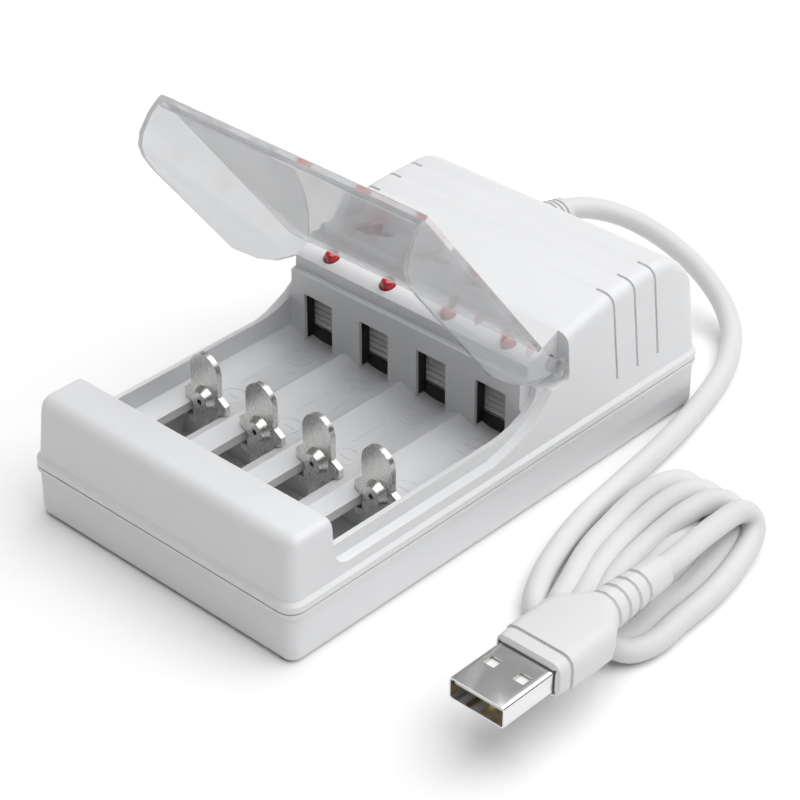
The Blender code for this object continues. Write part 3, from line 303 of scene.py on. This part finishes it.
k = Look("clear_lid", 0.04)
k.shader.inputs["Transmission Weight"].default_value = 0.88
k.shader.inputs["Alpha"].default_value = 0.8
k.shader.inputs["IOR"].default_value = 1.49
k.tint(k.noise(45.0, detail=2.0), (0.78, 0.79, 0.805), (0.82, 0.83, 0.845))
k.spread(k.noise(60.0, detail=2.0), 0.02, 0.05, "Roughness")
k.bump(k.noise(30.0, detail=1.0), 0.00003, 0.15)
clear = k.mat

k = Look("lamp_dome", 0.12)
k.tint(k.noise(600.0), (0.42, 0.008, 0.016), (0.56, 0.015, 0.024))
k.spread(k.noise(900.0), 0.08, 0.2, "Roughness")
k.shader.inputs["Coat Weight"].default_value = 0.6
k.shader.inputs["Coat Roughness"].default_value = 0.05
k.shader.inputs["Subsurface Weight"].default_value = 0.25
k.shader.inputs["Subsurface Scale"].default_value = 0.001
k.shader.inputs["Subsurface Radius"].default_value = (1.0, 0.25, 0.2)
lamp = k.mat

k = Look("board_laminate", 0.4)
k.tint(k.noise(700.0, stretch=(1, 0.2, 1), detail=2.0), (0.02, 0.12, 0.05), (0.035, 0.19, 0.08))
k.bump(k.noise(1500.0, detail=1.0), 0.00001, 0.7)
laminate = k.mat

k = Look("wound_copper", 0.3, 1.0)
w = k.node("ShaderNodeTexWave", wave_type="BANDS", bands_direction="Z")
w.inputs["Scale"].default_value = 520.0
w.inputs["Distortion"].default_value = 0.6
k.link(k.coords.outputs["Object"], w.inputs["Vector"])
k.tint(w.outputs["Fac"], (0.36, 0.13, 0.06), (0.72, 0.34, 0.2))
k.bump(w.outputs["Fac"], 0.00015, 0.9)
copper = k.mat

k = Look("can_sleeve", 0.35)
k.tint(k.noise(300.0), (0.012, 0.012, 0.014), (0.03, 0.03, 0.034))
k.bump(k.noise(2200.0), 0.000004)
can = k.mat

k = Look("tongue_resin", 0.42)
k.tint(k.noise(500.0), (0.80, 0.79, 0.76), (0.87, 0.86, 0.83))
k.bump(k.noise(2400.0), 0.000004)
resin = k.mat


def dress(name, mat):
    slots = nodes[name].material_slots
    if not slots:
        nodes[name].data.materials.append(mat)
    for s in slots:
        s.material = mat


for name, mat in {"upper_housing": case, "lower_housing": base, "lid": clear, "cord_gland": sleeve,
                  "circuit_board": laminate, "board_inductor": copper, "board_capacitor": can,
                  "cord_lead": sleeve, "cord_coil": sleeve, "cord_tail": sleeve, "plug_body": plug_grip,
                  "plug_shell": plating, "plug_tongue": resin}.items():
    dress(name, mat)
for i in range(1, 5):
    dress(f"sliding_contact_{i}", nickel)
    dress(f"positive_contact_{i}", ribbed)
    dress(f"contact_spring_{i}", steel)
    dress(f"contact_rail_{i}", nickel)
    dress(f"status_lamp_{i}", lamp)
    dress(f"case_screw_{i}", zinc)
lead.data.materials.append(sleeve)


# Round faces read as round, edges over 32 degrees stay crisp
CRISP = math.radians(32)
tree = bpy.data.node_groups.new("smooth_by_angle", "GeometryNodeTree")
tree.interface.new_socket("Geometry", in_out="INPUT", socket_type="NodeSocketGeometry")
tree.interface.new_socket("Geometry", in_out="OUTPUT", socket_type="NodeSocketGeometry")
g_in = tree.nodes.new("NodeGroupInput")
g_out = tree.nodes.new("NodeGroupOutput")
weld = tree.nodes.new("GeometryNodeMergeByDistance")
weld.inputs["Distance"].default_value = 0.000001
plain = tree.nodes.new("GeometryNodeRemoveAttribute")
plain.inputs["Name"].default_value = "custom_normal"
faces = tree.nodes.new("GeometryNodeSetShadeSmooth")
faces.domain = "FACE"
edges = tree.nodes.new("GeometryNodeSetShadeSmooth")
edges.domain = "EDGE"
edges.inputs["Shade Smooth"].default_value = False
angle = tree.nodes.new("GeometryNodeInputMeshEdgeAngle")
over = tree.nodes.new("FunctionNodeCompare")
over.data_type = "FLOAT"
over.operation = "GREATER_THAN"
over.inputs["B"].default_value = CRISP
tree.links.new(g_in.outputs[0], weld.inputs["Geometry"])
tree.links.new(weld.outputs["Geometry"], plain.inputs["Geometry"])
tree.links.new(plain.outputs["Geometry"], faces.inputs["Geometry"])
tree.links.new(faces.outputs["Geometry"], edges.inputs["Geometry"])
tree.links.new(angle.outputs["Unsigned Angle"], over.inputs["A"])
tree.links.new(over.outputs["Result"], edges.inputs["Selection"])
tree.links.new(edges.outputs["Geometry"], g_out.inputs[0])
for node in nodes.values():
    node.modifiers.new("smooth_by_angle", "NODES").node_group = tree


# Raised polarity marks on the channel floors
CHANNEL_R = 0.0130
CHANNEL_Z = 0.0116
CHANNELS = [-0.02265, -0.00755, 0.00755, 0.02265]
MARK = 0.00012                       # height of a mark
SUNK = 0.0001                        # depth of its foot in the floor
RING_R = 0.0027
PLUS_Y = 0.0020
MINUS_Y = -0.0165
SIGN = 0.0014                        # half length of a stroke


def add_strip(bm, centre, outline, height):
    """A low raised strip that follows a channel; outline lists its two sides, a pair of (x, y) per row."""
    rows = []
    for (xa, ya), (xb, yb) in outline:
        row = []
        for x, y, h in ((xa, ya, -SUNK), (xa, ya, height), (xb, yb, height), (xb, yb, -SUNK)):
            z = CHANNEL_Z + CHANNEL_R - math.sqrt(CHANNEL_R ** 2 - x ** 2)
            row.append(bm.verts.new((centre + x, y, z + h)))
        rows.append(row)
    for a, b in zip(rows, rows[1:]):
        for j in range(3):
            bm.faces.new((a[j], a[j + 1], b[j + 1], b[j]))
    if outline[0] != outline[-1]:
        bm.faces.new(rows[0][::-1])
        bm.faces.new(rows[-1])


def bar(x0, y0, x1, y1, half):
    d = Vector((x1 - x0, y1 - y0)).normalized()
    n = Vector((-d.y, d.x)) * half
    out = []
    for t in range(9):
        x = x0 + (x1 - x0) * t / 8
        y = y0 + (y1 - y0) * t / 8
        out.append(((x - n.x, y - n.y), (x + n.x, y + n.y)))
    return out


def ring(cy, r, half):
    return [((math.cos(a) * (r - half), cy + math.sin(a) * (r - half)),
             (math.cos(a) * (r + half), cy + math.sin(a) * (r + half)))
            for a in (math.tau * t / 40 for t in range(41))]


bm = bmesh.new()
for x in CHANNELS:
    for y in (PLUS_Y, MINUS_Y):
        add_strip(bm, x, ring(y, RING_R, 0.00018), MARK)
        add_strip(bm, x, bar(-SIGN, y, SIGN, y, 0.0002), MARK)
        if y == PLUS_Y:
            add_strip(bm, x, bar(0, y - SIGN, 0, y + SIGN, 0.0002), MARK)
    for side in (-0.0024, 0.0024):
        add_strip(bm, x, bar(side, -0.0118, side, -0.0030, 0.00016), MARK)
bmesh.ops.recalc_face_normals(bm, faces=bm.faces)
marks = made_piece("polarity_marks", bm)
marks.data.materials.append(case)
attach(marks, "case")


# Painted shade in each window: black blocks stand in for the dark interior, a foot under the ribbed contact
# and a strip round the opening
def add_block(bm, lo, hi, round_by):
    made = bmesh.ops.create_cube(bm, size=1.0)
    for v in made["verts"]:
        v.co = Vector([a + (c + 0.5) * (b - a) for a, b, c in zip(lo, hi, v.co)])
    edges = list({e for v in made["verts"] for e in v.link_edges})
    bmesh.ops.bevel(bm, geom=edges, offset=round_by, segments=2, affect="EDGES")


WALL_Y = 0.00706
WINDOW_HALF = 0.0038
WINDOW_TOP = 0.02285
SHADE_FRONT = WALL_Y + 0.0007        # the black shade strip starts behind the face of the wall
SHADE_IN = 0.00014                   # how far it stands into the opening
SHADE_OUT = 0.00004                  # how far it is let into the jamb
# Near-black colour, painted as the shade inside the windows.
k = Look("window_shade_black", 0.6)
k.tint(k.noise(800.0), (0.020, 0.018, 0.017), (0.040, 0.036, 0.034))
k.bump(k.noise(1800.0), 0.00001)
bm = bmesh.new()
for i, x in enumerate(CHANNELS):
    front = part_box(f"positive_contact_{i + 1}")[0][1]
    add_block(bm, (x - 0.0042, front - 0.00027, 0.0101), (x + 0.0042, front + 0.00003, 0.0144), 0.0001)
    for side in (-1, 1):
        xa, xb = sorted((x + side * (WINDOW_HALF + SHADE_OUT), x + side * (WINDOW_HALF - SHADE_IN)))
        add_block(bm, (xa, SHADE_FRONT, 0.0124), (xb, front, WINDOW_TOP), 0.00004)
    add_block(bm, (x - WINDOW_HALF, SHADE_FRONT, WINDOW_TOP - SHADE_IN),
              (x + WINDOW_HALF, front, WINDOW_TOP + SHADE_OUT), 0.00004)
shade_blocks = made_piece("painted_window_shade", bm)
shade_blocks.data.materials.append(k.mat)
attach(shade_blocks, "case")


# Four gold contacts under the plug's tongue
PLUG_X = 0.0733
MOUTH_Y = -0.0538
CONTACTS = ((-0.0035, 0.0014), (-0.0010, 0.0024), (0.0010, 0.0024), (0.0035, 0.0014))  # x, set back
CONTACT_W = 0.0010
CONTACT_LEN = 0.0075
CONTACT_T = 0.0003
bm = bmesh.new()
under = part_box("plug_tongue")[0][2] - 0.00012
for x, set_back in CONTACTS:
    made = bmesh.ops.create_cube(bm, size=1.0)
    for v in made["verts"]:
        v.co = Vector((PLUG_X + x + v.co.x * CONTACT_W, MOUTH_Y + set_back + (v.co.y + 0.5) * CONTACT_LEN,
                       under + v.co.z * CONTACT_T))
bmesh.ops.bevel(bm, geom=bm.edges[:], offset=0.00008, segments=2, affect="EDGES")
contacts = made_piece("plug_contacts", bm)
contacts.data.materials.append(gold)
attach(contacts, "case")


# Floor and light
FLOOR = 6                            # half width of the floor, m
KEY_FROM = (0.28, 0.22, 1.0)
BEHIND = (-0.567, 0.608, 0.556)      # where a level mirror sends the view; a little brighter there
k = Look("floor", 0.75)
k.tint(k.noise(3.0), (0.93, 0.93, 0.93), (0.95, 0.95, 0.95))
me = bpy.data.meshes.new("floor")
me.from_pydata([(-FLOOR, -FLOOR, 0), (FLOOR, -FLOOR, 0), (FLOOR, FLOOR, 0), (-FLOOR, FLOOR, 0)], [],
               [(0, 1, 2, 3)])
floor = bpy.data.objects.new("floor", me)
bpy.context.scene.collection.objects.link(floor)
me.materials.append(k.mat)

world = bpy.data.worlds.new("studio")
bpy.context.scene.world = world
world.use_nodes = True
world.node_tree.nodes["Background"].inputs["Color"].default_value = (1, 1, 1, 1)
wt = world.node_tree
aim = wt.nodes.new("ShaderNodeTexCoord")
dot = wt.nodes.new("ShaderNodeVectorMath")
dot.operation = "DOT_PRODUCT"
dot.inputs[1].default_value = BEHIND
glow = wt.nodes.new("ShaderNodeMapRange")
glow.inputs["From Min"].default_value = 0.5
glow.inputs["From Max"].default_value = 1.0
glow.inputs["To Min"].default_value = 0.10
glow.inputs["To Max"].default_value = 0.34
wt.links.new(aim.outputs["Generated"], dot.inputs[0])
wt.links.new(dot.outputs["Value"], glow.inputs["Value"])
wt.links.new(glow.outputs["Result"], wt.nodes["Background"].inputs["Strength"])

sun = bpy.data.lights.new("key", "SUN")
sun.energy = 3.2
sun.angle = math.radians(80)
key = bpy.data.objects.new("key", sun)
bpy.context.scene.collection.objects.link(key)
key.rotation_mode = "QUATERNION"
key.rotation_quaternion = (-Vector(KEY_FROM)).to_track_quat("-Z", "Y")
bpy.context.scene.view_settings.view_transform = "Standard"

bpy.context.view_layer.update()
